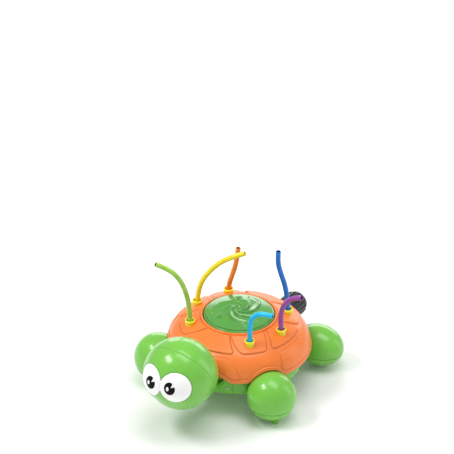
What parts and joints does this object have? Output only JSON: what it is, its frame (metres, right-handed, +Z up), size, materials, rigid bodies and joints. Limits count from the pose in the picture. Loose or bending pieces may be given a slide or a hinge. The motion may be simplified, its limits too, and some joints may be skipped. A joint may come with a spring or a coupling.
{
  "type": "toy lawn sprinkler",
  "caption": "Turtle-shaped garden sprinkler with a spinning spray disc, flexible spray tubes in sockets round a domed shell, ball feet and a swivel hose inlet.",
  "frame": {"origin": "on the floor, under the middle of the box round the rigid parts (flexible tubes left out)", "axes": "+Z up, the head looks along -Y, the hose inlet points along +Y, +X is the turtle's own left"},
  "size_m": [0.2304, 0.3192, 0.1853],
  "materials": {
    "shell": "glossy orange",
    "body_green": "glossy leaf green",
    "rotor_green": "glossy deeper green",
    "eye_white": "glossy white",
    "pupil_black": "glossy black",
    "socket_yellow": "satin yellow",
    "hose_grey": "satin dark grey",
    "inner_white": "natural",
    "seal": "matt",
    "steel": "zinc plated",
    "tube_purple": "flexible vinyl",
    "tube_blue": "flexible vinyl",
    "tube_orange": "flexible vinyl",
    "tube_yellow": "flexible vinyl",
    "tube_green": "flexible vinyl",
    "tube_cyan": "flexible vinyl"
  },
  "bodies": {
    "turtle_body": {"shell_cover": "shell", "base_tray": "body_green", "neck": "body_green", "head_face": "body_green", "head_crown": "body_green", "foot_upper_front_left": "body_green", "foot_upper_front_right": "body_green", "foot_upper_rear_left": "body_green", "foot_upper_rear_right": "body_green", "foot_lower_front_left": "body_green", "foot_lower_front_right": "body_green", "foot_lower_rear_left": "body_green", "foot_lower_rear_right": "body_green", "foot_pads": "body_green", "foot_screws": "steel", "chamber_screws": "steel", "case_screws": "steel", "spindle_clip": "steel", "chamber_lower": "inner_white", "chamber_upper": "inner_white", "spindle": "inner_white", "inlet_pipe": "inner_white", "inlet_filter": "inner_white", "chamber_gasket": "seal", "spindle_washer": "seal", "hose_washer": "seal", "socket_purple": "socket_yellow", "socket_blue": "socket_yellow", "socket_orange": "socket_yellow", "socket_yellow": "socket_yellow", "socket_green": "socket_yellow", "socket_cyan": "socket_yellow", "eye_left": "eye_white", "pupil_left": "pupil_black", "eye_right": "eye_white", "pupil_right": "pupil_black", "inlet_stem": "hose_grey"},
    "rotor": {"rotor_cover": "rotor_green", "rotor_base": "rotor_green", "rotor_nozzles": "rotor_green", "rotor_bush": "inner_white"},
    "swivel_collar": {"hose_collar": "hose_grey"},
    "spray_tube_purple": {"tube_purple": "tube_purple"},
    "spray_tube_blue": {"tube_blue": "tube_blue"},
    "spray_tube_orange": {"tube_orange": "tube_orange"},
    "spray_tube_yellow": {"tube_yellow": "tube_yellow"},
    "spray_tube_green": {"tube_green": "tube_green"},
    "spray_tube_cyan": {"tube_cyan": "tube_cyan"}
  },
  "joints": [
    {"name": "rotor_spin", "type": "hinge", "parent": "turtle_body", "child": "rotor", "pos_m": [0, 0.02264, 0.09], "axis": [0, 0, 1], "continuous": true},
    {"name": "collar_swivel", "type": "hinge", "parent": "turtle_body", "child": "swivel_collar", "pos_m": [0, 0.13464, 0.0425], "axis": [0, 1, 0], "continuous": true},
    {"name": "tube_sway_purple", "type": "hinge", "parent": "turtle_body", "child": "spray_tube_purple", "pos_m": [0.0625, 0.02264, 0.092], "axis": [0, 1, 0], "range_deg": [-12, 12], "stiffness_Nm_per_rad": 0.08},
    {"name": "tube_sway_blue", "type": "hinge", "parent": "turtle_body", "child": "spray_tube_blue", "pos_m": [0.04419, 0.06684, 0.092], "axis": [0.5446, -0.8387, 0], "range_deg": [-12, 12], "stiffness_Nm_per_rad": 0.08},
    {"name": "tube_sway_orange", "type": "hinge", "parent": "turtle_body", "child": "spray_tube_orange", "pos_m": [-0.04419, 0.06684, 0.092], "axis": [-0.5736, 0.8192, 0], "range_deg": [-12, 12], "stiffness_Nm_per_rad": 0.08},
    {"name": "tube_sway_yellow", "type": "hinge", "parent": "turtle_body", "child": "spray_tube_yellow", "pos_m": [-0.0625, 0.02264, 0.092], "axis": [-0.4305, 0.9026, 0], "range_deg": [-12, 12], "stiffness_Nm_per_rad": 0.08},
    {"name": "tube_sway_green", "type": "hinge", "parent": "turtle_body", "child": "spray_tube_green", "pos_m": [-0.04419, -0.02155, 0.092], "axis": [0.7071, -0.7071, 0], "range_deg": [-12, 12], "stiffness_Nm_per_rad": 0.08},
    {"name": "tube_sway_cyan", "type": "hinge", "parent": "turtle_body", "child": "spray_tube_cyan", "pos_m": [0.04419, -0.02155, 0.092], "axis": [-0.1736, 0.9848, 0], "range_deg": [-12, 12], "stiffness_Nm_per_rad": 0.08}
  ]
}
